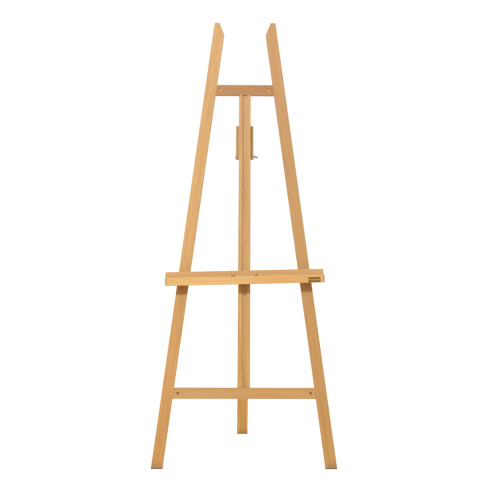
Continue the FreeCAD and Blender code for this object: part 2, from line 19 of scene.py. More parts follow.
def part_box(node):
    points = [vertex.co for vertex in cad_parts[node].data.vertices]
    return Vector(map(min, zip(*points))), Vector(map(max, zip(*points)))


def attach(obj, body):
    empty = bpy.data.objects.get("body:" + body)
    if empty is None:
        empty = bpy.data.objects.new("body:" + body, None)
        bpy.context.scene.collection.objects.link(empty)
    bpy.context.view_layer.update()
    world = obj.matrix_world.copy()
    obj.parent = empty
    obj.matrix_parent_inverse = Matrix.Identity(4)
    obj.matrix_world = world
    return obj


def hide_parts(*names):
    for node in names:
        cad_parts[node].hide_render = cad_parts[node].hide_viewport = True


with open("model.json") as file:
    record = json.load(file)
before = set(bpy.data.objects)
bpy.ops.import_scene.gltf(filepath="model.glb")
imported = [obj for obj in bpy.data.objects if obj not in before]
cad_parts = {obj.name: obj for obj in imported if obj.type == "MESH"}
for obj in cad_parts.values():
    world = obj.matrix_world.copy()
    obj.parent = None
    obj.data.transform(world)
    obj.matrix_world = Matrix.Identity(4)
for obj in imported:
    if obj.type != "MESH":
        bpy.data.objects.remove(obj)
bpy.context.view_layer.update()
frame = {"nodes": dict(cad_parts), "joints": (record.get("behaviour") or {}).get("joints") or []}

Material = bpy.types.Material
NodeTree = bpy.types.NodeTree
Socket = bpy.types.NodeSocket

LOG = logging.getLogger("easel")
MM = 0.001
# Edges that turn by more degrees than this stay crisp.
CRISP_ABOVE = 38.0


class Slot(Enum):
    """The record's material slots; each kind of hardware keeps one, but nothing here assigns it."""

    STEEL = "zinc_plated_steel"
    BARREL = "barrel_nut_steel"
    PLATE = "bronzed_plate"
    PIN = "brass_pin"


class Recess(Enum):
    """What is cut into the face of a screw, bolt or nut."""

    CROSS = "cross"
    HEXAGON = "hexagon"
    SLOT = "slot"


class Kind(Enum):
    """The kinds of shader node in use."""

    COORDINATES = "ShaderNodeTexCoord"
    MAPPING = "ShaderNodeMapping"
    VECTOR = "ShaderNodeVectorMath"
    MATHS = "ShaderNodeMath"
    NOISE = "ShaderNodeTexNoise"
    RANGE = "ShaderNodeMapRange"
    MIX = "ShaderNodeMix"
    SPLIT = "ShaderNodeSeparateXYZ"
    BUMP = "ShaderNodeBump"
    SURFACE = "ShaderNodeBsdfPrincipled"
    OUTPUT = "ShaderNodeOutputMaterial"


# ---- shared helpers ------------------------------------------------------------------------
def linear(hex_colour: str, tone: float = 1.0) -> tuple[float, float, float, float]:
    """Turn an sRGB hex colour to linear light.

    Args:
        hex_colour: six hex digits, such as "d9a066".
        tone: a factor on the linear value, to make a layer lighter or darker.

    Returns:
        Linear red, green, blue and an alpha of 1.
    """
    srgb = np.array([int(hex_colour[i:i + 2], 16) for i in (0, 2, 4)]) / 255.0
    light = np.where(srgb <= 0.04045, srgb / 12.92, ((srgb + 0.055) / 1.055) ** 2.4)
    red, green, blue = np.clip(light * tone, 0.0, 1.0)
    return float(red), float(green), float(blue), 1.0


def add_node(tree: NodeTree, kind: Kind, settings: dict | None = None) -> bpy.types.Node:
    """Add one shader node.

    Args:
        tree: the material's node tree.
        kind: the kind of node.
        settings: properties by name, and inputs by name or number, each with a plain value or the
            socket that feeds it.

    Returns:
        The new node.
    """
    node = tree.nodes.new(kind.value)
    for key, value in (settings or {}).items():
        if isinstance(value, Socket):
            tree.links.new(value, node.inputs[key])
        elif isinstance(key, str) and hasattr(node, key):
            setattr(node, key, value)
        else:
            node.inputs[key].default_value = value
    return node


def rise(value: Socket, low: float, high: float) -> dict:
    """Settings of a range that climbs smoothly from 0 at low to 1 at high."""
    return {"interpolation_type": "SMOOTHSTEP", "Value": value, "From Min": low, "From Max": high}


def blend(amount: Socket | float, first: Socket | tuple, second: Socket | tuple) -> dict:
    """Settings of a mix that goes from a first colour to a second as the amount grows.

    A mix of colours takes them at inputs 6 and 7 and gives its result at output 2.

    Args:
        amount: 0 for the first colour, 1 for the second.
        first: the first colour.
        second: the second colour.

    Returns:
        The settings for add_node.
    """
    return {"data_type": "RGBA", "clamp_factor": True, 0: amount, 6: first, 7: second}


def weigh(tree: NodeTree, *terms: tuple[Socket, float]) -> Socket:
    """Add up sockets, each times its weight.

    Args:
        tree: the material's node tree.
        terms: a socket and its weight, as often as wanted.

    Returns:
        The sum.
    """
    total: Socket | float = 0.0
    for term, weight in terms:
        settings = {"operation": "MULTIPLY_ADD", 0: term, 1: weight, 2: total}
        total = add_node(tree, Kind.MATHS, settings).outputs[0]
    return total


def new_material(name: str) -> tuple[Material, NodeTree]:
    """Start an empty node material.

    Args:
        name: the finish and the board or part it is for.

    Returns:
        The material and its node tree.
    """
    material = bpy.data.materials.new(name)
    material.use_nodes = True
    material.node_tree.nodes.clear()
    return material, material.node_tree


def finish(
    tree: NodeTree, colour: Socket, rough: Socket, height: Socket, relief: tuple[float, float], skin: dict
) -> None:
    """Bring colour, roughness and relief together in the material's surface.

    Args:
        tree: the material's node tree.
        colour: the base colour.
        rough: the roughness.
        height: how high the surface stands, from 0 to 1.
        relief: how strongly the height shows, and how deep it is in millimetres.
        skin: the shader's plain settings.
    """
    strength, depth_mm = relief
    bump = add_node(tree, Kind.BUMP, {"Strength": strength, "Distance": depth_mm * MM, "Height": height})
    skin = skin | {"Base Color": colour, "Roughness": rough, "Normal": bump.outputs[0]}
    shader = add_node(tree, Kind.SURFACE, skin)
    add_node(tree, Kind.OUTPUT, {"Surface": shader.outputs[0]})


def joint_axis(name: str) -> Vector:
    """The axis of one of the frame's joints, one unit long."""
    axes = {joint["name"]: joint["axis"] for joint in frame["joints"]}
    return Vector(axes[name]).normalized()


SIDEWAYS = Vector((1.0, 0.0, 0.0))
MAST_UP = joint_axis("tray_slide")
FRAME_FRONT = joint_axis("tray_level")


# ---- surfaces ------------------------------------------------------------------------------
def directions(count: int) -> np.ndarray:
    """Angles spread evenly over a full turn."""
    return np.linspace(0, 2 * math.pi, count, endpoint=False)


def grid_faces(rows: int, columns: int) -> np.ndarray:
    """Corner numbers of the quads of a grid of points whose rows close on themselves.

    The quad at row i and column j joins (i, j), (i, j+1), (i+1, j+1) and (i+1, j), and the last
    column joins the first.

    Args:
        rows: how many rows of points.
        columns: how many points in a row.

    Returns:
        An array of four corner numbers per quad.
    """
    i, j = np.meshgrid(np.arange(rows - 1), np.arange(columns), indexing="ij")
    following = (j + 1) % columns
    corners = [i * columns + j, i * columns + following]
    corners += [(i + 1) * columns + following, (i + 1) * columns + j]
    return np.stack([corner.ravel() for corner in corners], axis=-1)


@dataclass
class Shell:
    """A closed surface: points and the faces between them."""

    points: np.ndarray
    faces: list[tuple[int, ...]]

    @staticmethod
    def turned(radii: np.ndarray, heights: np.ndarray) -> "Shell":
        """Rings about Z, with a closing fan at each end.

        The point at row i and angle a is (r cos a, r sin a, h), with r from row i at that angle and
        h the row's height.

        Args:
            radii: one row for each ring and one column for each angle.
            heights: each ring's height; they rise for faces that point outwards.

        Returns:
            The closed shell.
        """
        angle = directions(radii.shape[1])
        level = np.broadcast_to(heights[:, None], radii.shape)
        return Shell.capped(np.stack([radii * np.cos(angle), radii * np.sin(angle), level], axis=-1))

    @staticmethod
    def capped(points: np.ndarray) -> "Shell":
        """Rings of points, joined in order, with a fan over the first and the last ring.

        Args:
            points: rings by points by three coordinates, each ring anticlockwise seen from the last.

        Returns:
            The closed shell.
        """
        rows, columns = points.shape[:2]
        ends = np.stack([points[0].mean(axis=0), points[-1].mean(axis=0)])
        vertices = np.concatenate([points.reshape(-1, 3), ends])
        j = np.arange(columns)
        following = (j + 1) % columns
        bottom, top = rows * columns, rows * columns + 1
        last = (rows - 1) * columns
        low_fan = np.stack([following, j, np.full(columns, bottom)], axis=-1)
        high_fan = np.stack([last + j, last + following, np.full(columns, top)], axis=-1)
        faces = grid_faces(rows, columns).tolist() + low_fan.tolist() + high_fan.tolist()
        return Shell(vertices, [tuple(face) for face in faces])

    @staticmethod
    def ringed(profile: tuple[tuple[float, float], ...], segments: int) -> "Shell":
        """A closed profile turned about Z, as on a washer.

        The point at angle a and profile corner (r, h) is (r cos a, r sin a, h).

        Args:
            profile: radius and height of each corner, in millimetres.
            segments: how many copies of the profile go round.

        Returns:
            The closed shell.
        """
        angle = directions(segments)[:, None]
        radius, height = np.array(profile).T
        level = np.broadcast_to(height, (segments, len(profile)))
        points = np.stack([radius * np.cos(angle), radius * np.sin(angle), level], axis=-1) * MM
        quads = grid_faces(segments + 1, len(profile)) % (segments * len(profile))
        return Shell(points.reshape(-1, 3), [tuple(face) for face in quads.tolist()])

    def placed(self, origin: Vector, up: Vector, spin: float = 0.0) -> "Shell":
        """The same shell with its Z axis along a direction.

        Args:
            origin: where the shell's own origin goes.
            up: where its Z axis points.
            spin: degrees turned about that axis.

        Returns:
            The shell in the frame's own metres.
        """
        turn = up.to_track_quat("Z", "Y").to_matrix() @ Euler((0, 0, math.radians(spin))).to_matrix()
        return Shell(self.points @ np.array(turn).T + np.array(origin), self.faces)


def join(shells: list[Shell]) -> Shell:
    """Put several shells into one.

    Args:
        shells: the shells, each in place.

    Returns:
        One shell with all their points and faces.
    """
    counts = np.cumsum([0] + [len(shell.points) for shell in shells[:-1]])
    faces: list[tuple[int, ...]] = []
    for shell, start in zip(shells, counts.tolist()):
        faces += [tuple(corner + start for corner in face) for face in shell.faces]
    return Shell(np.concatenate([shell.points for shell in shells]), faces)


def add_mesh(name: str, shell: Shell, material: Material) -> bpy.types.Object:
    """Put a shell into the scene.

    Args:
        name: the new object's name.
        shell: its points and faces, in place.
        material: its finish.

    Returns:
        The new object, smoothly shaded.
    """
    mesh = bpy.data.meshes.new(name)
    mesh.from_pydata(shell.points.tolist(), [], shell.faces)
    mesh.shade_smooth()
    mesh.materials.append(material)
    made = bpy.data.objects.new(name, mesh)
    bpy.context.scene.collection.objects.link(made)
    return made


def make_piece(node: str, shell: Shell, material: Material, body: str) -> None:
    """Put a piece of the easel in the place of a frame node.

    Args:
        node: the frame node that it replaces.
        shell: its points and faces, in place.
        material: its finish.
        body: the moving body that it rides on.
    """
    piece = add_mesh(f"{node}_made", shell, material)
    piece.data.validate()
    piece.data.set_sharp_from_angle(angle=math.radians(CRISP_ABOVE))
    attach(piece, body)
    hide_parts(node)
    LOG.info("%s: %d faces, rides on %s", piece.name, len(shell.faces), body)


def mesh_values(items: bpy.types.bpy_prop_collection, name: str, width: int, kind: type) -> np.ndarray:
    """Read one value of every item of a mesh.

    Args:
        items: the mesh's vertices, loops or polygons.
        name: the value's name.
        width: how many numbers it has.
        kind: the kind of number.

    Returns:
        One row for each item, or one number when width is 1.
    """
    values = np.empty(len(items) * width, dtype=kind)
    items.foreach_get(name, values)
    return values.reshape(-1, width) if width > 1 else values


def dress_node(node: str, material: Material) -> None:
    """Give a frame node a finish in its own material slots."""
    for slot in frame["nodes"][node].material_slots:
        slot.material = material
    LOG.info("%s: %s", node, material.name)


# ---- wood ----------------------------------------------------------------------------------
@dataclass(frozen=True)
class Board:
    """One board's own directions and size, read from its mesh."""

    node: str
    axes: Matrix
    middle: Vector
    size: Vector

    @staticmethod
    def read(node: str, along: Vector | None = None) -> "Board":
        """Find a board's width, thickness and length directions.

        The largest face is taken as the wide face and its normal as the thickness.  The largest
        face square to it gives the width, and the length is square to both.

        Args:
            node: the frame node.
            along: the way the grain runs, where the shape doesn't show it.

        Returns:
            The board, with axes as rows in the order width, thickness, length.
        """
        mesh = frame["nodes"][node].data
        normals = mesh_values(mesh.polygons, "normal", 3, float)
        areas = mesh_values(mesh.polygons, "area", 1, float)
        points = mesh_values(mesh.vertices, "co", 3, float)
        length = None if along is None else np.array(along.normalized())
        if length is not None:
            areas = np.where(np.abs(normals @ length) < 0.05, areas, 0.0)
        thickness = normals[np.argmax(areas)]
        if length is None:
            level = np.abs(normals @ thickness) < 0.05
            width = normals[np.argmax(np.where(level, areas, 0.0))]
            length = np.cross(width, thickness)
        width = np.cross(thickness, length)
        axes = np.stack([width, thickness, length])
        local = points @ axes.T
        low, high = local.min(axis=0), local.max(axis=0)
        middle = axes.T @ ((low + high) / 2)
        return Board(node, Matrix(axes.tolist()), Vector(middle), Vector(high - low))

    def rising(self) -> float:
        """1 where the board's length direction runs up or to the right, else -1."""
        along = self.axes[2]
        return 1.0 if (along.z if abs(along.z) > 0.1 else along.x) > 0 else -1.0


@dataclass(frozen=True)
class Tone:
    """How much red, green and blue light one board gives back beside a plain one.

    Each board gets its own factors, which change evenly from its lower or left end to the other; on
    the front legs the upper ends come out lighter and bluer.
    """

    low: tuple[float, float, float] = (1.0, 1.0, 1.0)
    high: tuple[float, float, float] | None = None

    def colours(self) -> tuple[tuple[float, ...], tuple[float, ...]]:
        """The factors at the lower or left end and at the other, with an alpha of 1."""
        return (*self.low, 1.0), (*(self.high or self.low), 1.0)


@dataclass(frozen=True)
class Grain:
    """What the wood does at each point of a board, as sockets of one material's tree."""

    tree: NodeTree
    own: Socket
    parts: tuple[Socket, Socket, Socket]
    streak: Socket
    fibre: Socket
    cloud: Socket
    ray: Socket
    end: Socket


@dataclass(frozen=True)
class OiledBeech:
    """Planed European beech rubbed with oil.

    Oil turns the pale wood to a warm honey with a satin skin.  The eye gets long soft streaks along
    the board, close growth lines, the short dark rays that mark beech, and darker end grain.
    """

    name: str
    pale: str
    deep: str
    ray: str
    # Colour that the last centimetres of a foot are darkened towards.
    lower_end_darkening: str = "6b4a2c"
    ring_spacing_mm: float = 5.0
    ring_wander_mm: float = 34.0
    streak_mm: tuple[float, float] = (9.0, 320.0)
    fibre_mm: tuple[float, float] = (0.8, 45.0)
    cloud_mm: tuple[float, float] = (70.0, 420.0)
    ray_mm: tuple[float, float] = (1.0, 5.0)
    worn_edge_mm: float = 3.5
    relief_mm: float = 0.06
    roughness: float = 0.42

    def dress(self, board: Board, tone: Tone, seed: int, on_floor: bool = False) -> Material:
        """Make this finish for one board.

        Args:
            board: the board's directions and size.
            tone: the board's own shade.
            seed: picks another stretch of the same grain for each board.
            on_floor: whether the lower end is darkened.

        Returns:
            The board's material.
        """
        material, tree = new_material(f"{self.name}_{board.node}")
        half = board.size * (0.5 / MM)
        grain = self.grain(tree, board, seed)
        ring = self.rings(grain, seed)
        colour = self.colour(grain, ring, self.edges(grain, half))
        colour = self.shade(grain, colour, half.z * board.rising(), tone)
        if on_floor:
            colour = self.darken_lower_end(grain, colour, half.z, board.rising())
        low, high = self.roughness - 0.07, self.roughness + 0.1
        settings = {"Value": grain.fibre, "From Min": 0.3, "From Max": 0.7, "To Min": low, "To Max": high}
        rough = add_node(tree, Kind.RANGE, settings).outputs[0]
        height = weigh(tree, (grain.fibre, 1.0), (ring, -0.5), (grain.ray, -0.6))
        skin = {"IOR": 1.45, "Coat Weight": 0.06, "Coat Roughness": 0.35}
        finish(tree, colour, rough, height, (0.35, self.relief_mm), skin)
        return material

    def grain(self, tree: NodeTree, board: Board, seed: int) -> Grain:
        """Lay millimetres along the board's own directions, and the wood's patterns on them.

        Args:
            tree: the material's nodes.
            board: the board's directions and size.
            seed: picks another stretch of the patterns.

        Returns:
            The patterns, with 1 for the end grain where the surface faces along the board.
        """
        coords = add_node(tree, Kind.COORDINATES).outputs
        settings = {"Location": -(board.axes @ board.middle) / MM, "Rotation": board.axes.to_euler("XYZ")}
        settings |= {"Scale": (1 / MM, 1 / MM, 1 / MM), "Vector": coords["Object"]}
        own = add_node(tree, Kind.MAPPING, settings).outputs[0]
        settings = {"operation": "ADD", 0: own, 1: (37.0 * seed, 61.0 * seed, 1130.0 * seed)}
        shifted = add_node(tree, Kind.VECTOR, settings).outputs[0]
        settings = {"operation": "DOT_PRODUCT", 0: coords["Normal"], 1: board.axes[2]}
        facing = add_node(tree, Kind.VECTOR, settings).outputs["Value"]
        endwise = add_node(tree, Kind.MATHS, {"operation": "ABSOLUTE", 0: facing}).outputs[0]
        ray = self.drawn_out(tree, shifted, self.ray_mm, 0.0)
        return Grain(
            tree=tree,
            own=own,
            parts=tuple(add_node(tree, Kind.SPLIT, {0: own}).outputs),
            streak=self.drawn_out(tree, shifted, self.streak_mm, 3.0),
            fibre=self.drawn_out(tree, shifted, self.fibre_mm, 2.0),
            cloud=self.drawn_out(tree, shifted, self.cloud_mm, 1.0),
            ray=add_node(tree, Kind.RANGE, rise(ray, 0.63, 0.73)).outputs[0],
            end=add_node(tree, Kind.RANGE, rise(endwise, 0.35, 0.6)).outputs[0],
        )

    @staticmethod
    def drawn_out(tree: NodeTree, vector: Socket, size: tuple[float, float], detail: float) -> Socket:
        """Noise drawn out along the board.

        Args:
            tree: the material's nodes.
            vector: millimetres in the board's own directions.
            size: how wide and how long one feature is, in millimetres.
            detail: how many finer layers it has.

        Returns:
            The noise, about 0.5 on average.
        """
        width, length = size
        settings = {"Scale": (1 / width, 1 / width, 1 / length), "Vector": vector}
        scaled = add_node(tree, Kind.MAPPING, settings).outputs[0]
        settings = {"Scale": 1.0, "Detail": detail, "Roughness": 0.55, "Vector": scaled}
        return add_node(tree, Kind.NOISE, settings).outputs["Fac"]

    def rings(self, grain: Grain, seed: int) -> Socket:
        """Growth rings round a pith that lies beside the board.

        The distance from the pith line, bent a little by the cloud noise, is divided by the ring
        spacing.  Its fractional part cubed is pale through each year and dark at the year's end.

        Args:
            grain: the wood's patterns.
            seed: moves the pith from board to board.

        Returns:
            0 in early wood, 1 at the dark line that ends a year.
        """
        pith = (18.0 + 17.0 * (seed % 5), 70.0 + 23.0 * (seed % 3), 0.0)
        settings = {"operation": "SUBTRACT", 0: grain.own, 1: pith}
        offset = add_node(grain.tree, Kind.VECTOR, settings).outputs[0]
        settings = {"operation": "MULTIPLY", 0: offset, 1: (1.0, 1.0, 0.0)}
        flat = add_node(grain.tree, Kind.VECTOR, settings).outputs[0]
        distance = add_node(grain.tree, Kind.VECTOR, {"operation": "LENGTH", 0: flat}).outputs["Value"]
        wander = self.ring_wander_mm / self.ring_spacing_mm
        years = weigh(grain.tree, (distance, 1 / self.ring_spacing_mm), (grain.cloud, wander))
        part = add_node(grain.tree, Kind.MATHS, {"operation": "FRACT", 0: years}).outputs[0]
        return add_node(grain.tree, Kind.MATHS, {"operation": "POWER", 0: part, 1: 3.0}).outputs[0]

    def edges(self, grain: Grain, half: Vector) -> Socket:
        """How worn the rounded long edges are, broken up by the streaks.

        Args:
            grain: the wood's patterns.
            half: half the board's size in millimetres.

        Returns:
            1 on a bare edge, 0 on the faces.
        """
        worn = add_node(grain.tree, Kind.RANGE, rise(grain.streak, 0.35, 0.6)).outputs[0]
        for part, reach in zip(grain.parts[:2], half[:2]):
            outwards = add_node(grain.tree, Kind.MATHS, {"operation": "ABSOLUTE", 0: part}).outputs[0]
            settings = rise(outwards, reach - self.worn_edge_mm, reach - self.worn_edge_mm * 0.3)
            near = add_node(grain.tree, Kind.RANGE, settings).outputs[0]
            worn = add_node(grain.tree, Kind.MATHS, {"operation": "MULTIPLY", 0: worn, 1: near}).outputs[0]
        return worn

    def colour(self, grain: Grain, ring: Socket, edge: Socket) -> Socket:
        """Lay the colours over each other: growth lines, rays, worn edges and end grain.

        Args:
            grain: the wood's patterns.
            ring: growth lines.
            edge: worn edges.

        Returns:
            The wood's colour.
        """
        tree = grain.tree
        terms = [(ring, 0.3)]
        for value, low, high, weight in (
            (grain.fibre, 0.3, 0.7, 0.16), (grain.cloud, 0.35, 0.65, 0.3), (grain.streak, 0.32, 0.68, 0.42)
        ):
            terms.append((add_node(tree, Kind.RANGE, rise(value, low, high)).outputs[0], weight))
        below: Socket | tuple = linear(self.pale)
        for amount, paint in (
            (weigh(tree, *terms), linear(self.deep)),
            (weigh(tree, (grain.ray, 0.55)), linear(self.ray)),
            (weigh(tree, (edge, 0.35)), linear(self.pale, 1.12)),
            (weigh(tree, (grain.end, 0.6)), linear(self.ray, 1.25)),
        ):
            below = add_node(tree, Kind.MIX, blend(amount, below, paint)).outputs[2]
        return below

    def shade(self, grain: Grain, colour: Socket, half_rise: float, tone: Tone) -> Socket:
        """Multiply the colour by the board's tone, which changes evenly along it.

        Args:
            grain: the wood's patterns.
            colour: the wood before.
            half_rise: half the board's length, negative where its direction runs down or left.
            tone: the shades at both ends.

        Returns:
            The shaded colour.
        """
        settings = {"Value": grain.parts[2], "From Min": -half_rise, "From Max": half_rise}
        along = add_node(grain.tree, Kind.RANGE, settings).outputs[0]
        factor = add_node(grain.tree, Kind.MIX, blend(along, *tone.colours())).outputs[2]
        settings = blend(1.0, colour, factor) | {"blend_type": "MULTIPLY"}
        return add_node(grain.tree, Kind.MIX, settings).outputs[2]

    def darken_lower_end(self, grain: Grain, colour: Socket, half_length: float, rising: float) -> Socket:
        """Darken the last few centimetres of a foot.

        Args:
            grain: the wood's patterns.
            colour: the wood before.
            half_length: half the board's length in millimetres.
            rising: 1 where the board's length direction runs up, else -1.

        Returns:
            The colour, darker towards the lower end.
        """
        uneven = weigh(grain.tree, (grain.parts[2], -rising), (grain.streak, 26.0))
        settings = rise(uneven, half_length - 28.0, half_length + 16.0)
        lower_end_darkening = add_node(grain.tree, Kind.RANGE, settings).outputs[0]
        faint = weigh(grain.tree, (lower_end_darkening, 0.55))
        return add_node(grain.tree, Kind.MIX, blend(faint, colour, linear(self.lower_end_darkening))).outputs[2]


# ---- metal and rubber ----------------------------------------------------------------------
@dataclass(frozen=True)
class PlatedMetal:
    """Steel or brass parts with a thin plated or antiqued skin.

    The eye gets a satin shine, faint mottling from the plating bath and duller, darker patches where
    hands and tools have rubbed.  On parts given a facing direction, the bright faces and darker flanks
    are a painted highlight and a painted reflection of the dark surroundings.
    """

    name: str
    bright: str
    dull: str
    roughness: float
    mottle_mm: float = 1.6
    grain_mm: float = 0.25
    relief_mm: float = 0.03
    patina: str = ""
    band_mm: float = 0.0

    def make(
        self, across: Vector | None = None, middle: Vector | None = None, facing: Vector | None = None
    ) -> Material:
        """Make the finish.

        Args:
            across: the direction across a rubbed band, where the part has one.
            middle: a point on the band's middle line.
            facing: surfaces facing this way get a painted highlight, and the rest the patina colour as a
                painted reflection of the dark surroundings.

        Returns:
            The material.
        """
        material, tree = new_material(self.name)
        coords = add_node(tree, Kind.COORDINATES).outputs
        settings = {"Scale": 1 / (self.mottle_mm * MM), "Detail": 4.0, "Vector": coords["Object"]}
        mottle = add_node(tree, Kind.NOISE, settings).outputs["Fac"]
        settings = {"Scale": 1 / (self.grain_mm * MM), "Detail": 2.0, "Vector": coords["Object"]}
        grain = add_node(tree, Kind.NOISE, settings).outputs["Fac"]
        settings = blend(mottle, linear(self.bright), linear(self.dull))
        colour = add_node(tree, Kind.MIX, settings).outputs[2]
        if across is not None:
            dark = self.off_band(tree, coords["Object"], mottle, across, middle)
            colour = add_node(tree, Kind.MIX, blend(dark, colour, linear(self.patina))).outputs[2]
        # Painted light: faces turned the facing way get a painted highlight, the flanks a painted dark
        # reflection in the patina colour.
        if facing is not None:
            settings = {"operation": "DOT_PRODUCT", 0: coords["Normal"], 1: facing}
            towards = add_node(tree, Kind.VECTOR, settings).outputs["Value"]
            bright = add_node(tree, Kind.RANGE, rise(towards, 0.55, 0.92)).outputs[0]
            colour = add_node(tree, Kind.MIX, blend(bright, linear(self.patina), colour)).outputs[2]
        settings = {"Value": mottle, "To Min": self.roughness - 0.1, "To Max": self.roughness + 0.16}
        rough = add_node(tree, Kind.RANGE, settings).outputs[0]
        finish(tree, colour, rough, grain, (0.25, self.relief_mm), {"Metallic": 1.0})
        return material

    def off_band(
        self, tree: NodeTree, place: Socket, mottle: Socket, across: Vector, middle: Vector
    ) -> Socket:
        """How far the surface is off a band that hands have kept bright.

        Args:
            tree: the material's nodes.
            place: where the surface is.
            mottle: noise that frays the band's edge.
            across: the direction across the band.
            middle: a point on the band's middle line.

        Returns:
            0 in the band, 1 in the patina on both sides.
        """
        settings = {"operation": "SUBTRACT", 0: place, 1: middle}
        shifted = add_node(tree, Kind.VECTOR, settings).outputs[0]
        settings = {"operation": "DOT_PRODUCT", 0: shifted, 1: across / MM}
        height = add_node(tree, Kind.VECTOR, settings).outputs["Value"]
        away = add_node(tree, Kind.MATHS, {"operation": "ABSOLUTE", 0: height}).outputs[0]
        frayed = weigh(tree, (away, 1.0), (mottle, 1.0))
        edge = self.band_mm / 2 + 0.5
        return add_node(tree, Kind.RANGE, rise(frayed, edge - 0.4, edge + 0.4)).outputs[0]


@dataclass(frozen=True)
class MouldedRubber:
    """Black moulded rubber: matt, with a dusty bloom and a fine pebbled skin."""

    name: str = "moulded_black_rubber"
    body: str = "1d1a18"
    bloom: str = "4b443c"
    pebble_mm: float = 0.9
    dust_mm: float = 14.0
    relief_mm: float = 0.15

    def make(self) -> Material:
        """Make the finish and return its material."""
        material, tree = new_material(self.name)
        coords = add_node(tree, Kind.COORDINATES).outputs
        settings = {"Scale": 1 / (self.pebble_mm * MM), "Detail": 3.0, "Vector": coords["Object"]}
        pebble = add_node(tree, Kind.NOISE, settings).outputs["Fac"]
        settings = {"Scale": 1 / (self.dust_mm * MM), "Detail": 3.0, "Vector": coords["Object"]}
        dust = add_node(tree, Kind.NOISE, settings).outputs["Fac"]
        settings = blend(dust, linear(self.body), linear(self.bloom))
        colour = add_node(tree, Kind.MIX, settings).outputs[2]
        rough = add_node(tree, Kind.RANGE, {"Value": pebble, "To Min": 0.7, "To Max": 0.95}).outputs[0]
        finish(tree, colour, rough, pebble, (0.5, self.relief_mm), {"IOR": 1.52})
        return material


# ---- hardware ------------------------------------------------------------------------------
def islands(node: str) -> list[np.ndarray]:
    """Split a frame node's points into its separate solids.

    Corners in the same place share one number.  Each triangle then hands the lowest number of its
    corners to the others, again and again, until nothing changes.

    Args:
        node: the frame node.

    Returns:
        One array of points for each solid, from left to right.
    """
    mesh = frame["nodes"][node].data
    points = mesh_values(mesh.vertices, "co", 3, float)
    corners = mesh_values(mesh.loops, "vertex_index", 1, np.int64)
    same_place = 0.005 * MM
    snapped = np.round(points / same_place)
    places, place = np.unique(snapped, axis=0, return_inverse=True)
    triangles = place.ravel()[corners].reshape(-1, 3)
    label = np.arange(len(places))
    while True:
        lowest = label[triangles].min(axis=1)
        following = label.copy()
        np.minimum.at(following, triangles, lowest[:, None])
        if np.array_equal(following, label):
            break
        label = following
    groups = [places[label == key] * same_place for key in np.unique(label)]
    return sorted(groups, key=lambda group: group[:, 0].mean())


@dataclass(frozen=True)
class Seat:
    """Where one round piece of hardware sits in the frame."""

    outer_end: Vector
    out: Vector
    length: float
    ear: Vector

    @staticmethod
    def find(node: str, out: Vector, mirrored: bool = False) -> list["Seat"]:
        """Read the seats of a node's solids.

        Args:
            node: the frame node.
            out: the way out of the wood, towards the head.
            mirrored: whether solids left of the middle face the other way.

        Returns:
            One seat for each solid: the middle of its outer end, its axis, its length and the
            direction of its farthest point from the axis.
        """
        seats = []
        for points in islands(node):
            middle_x = (points[:, 0].min() + points[:, 0].max()) / 2
            axis = out * (-1.0 if mirrored and middle_x < 0 else 1.0)
            basis = np.array(axis.to_track_quat("Z", "Y").to_matrix())
            local = points @ basis
            low, high = local.min(axis=0), local.max(axis=0)
            middle = (low + high) / 2
            middle[2] = high[2]
            aside = local - middle
            aside[:, 2] = 0.0
            ear = basis @ aside[np.argmax((aside**2).sum(axis=1))]
            seats.append(Seat(Vector(basis @ middle), axis, float(high[2] - low[2]), Vector(ear)))
        return seats

    def spin_to(self, direction: Vector) -> float:
        """How far a placed shell has to turn to bring its X axis to a direction.

        Args:
            direction: where the X axis should point, seen along the seat's axis.

        Returns:
            Degrees about the axis.
        """
        turn = self.out.to_track_quat("Z", "Y").to_matrix()
        local = turn.transposed() @ direction
        return math.degrees(math.atan2(local.y, local.x))


@dataclass(frozen=True)
class Hardware:
    """All the pieces of one kind of hardware, on the seats that the frame gives them."""

    node: str
    body: str
    material: Material
    out: Vector
    mirrored: bool = False
    slot: Slot = Slot.STEEL

    def length_mm(self) -> float:
        """The length of the frame's own piece."""
        return Seat.find(self.node, self.out, self.mirrored)[0].length / MM

    def build(self, shell: Shell, from_seat: bool = False, turn: float | None = None) -> None:
        """Put a copy of the shell on every seat.

        Args:
            shell: one piece, with its outer end at height 0, or its seat when from_seat is set.
            from_seat: whether height 0 is the inner end, as on a nut.
            turn: degrees about the axis, or nothing to follow the frame's own piece.
        """
        turn_between = 37.0
        copies = []
        for number, seat in enumerate(Seat.find(self.node, self.out, self.mirrored)):
            origin = seat.outer_end - seat.out * seat.length if from_seat else seat.outer_end
            spin = seat.spin_to(seat.ear) if turn is None else turn + turn_between * number
            copies.append(shell.placed(origin, seat.out, spin))
        make_piece(self.node, join(copies), self.material, self.body)


def recess_outline(kind: Recess, reach: float, arm: float, angle: np.ndarray) -> np.ndarray:
    """How far a recess reaches from the axis in each direction.

    A slot is a rectangle, a cross is the larger of two rectangles at right angles, and a hexagon is
    the flat's distance divided by the cosine of the angle from the nearest flat.

    Args:
        kind: the recess.
        reach: from the axis to the end of an arm, or to a corner of the hexagon.
        arm: half the width of an arm.
        angle: directions about the axis.

    Returns:
        The distance in each direction.
    """
    if kind is Recess.HEXAGON:
        step = math.pi / 3
        folded = (angle + step / 2) % step - step / 2
        return reach * math.cos(step / 2) / np.cos(folded)
    along = np.abs(np.cos(angle)) + 1e-9
    across = np.abs(np.sin(angle)) + 1e-9
    level = np.minimum(reach / along, arm / across)
    if kind is Recess.SLOT:
        return level
    return np.maximum(level, np.minimum(arm / along, reach / across))


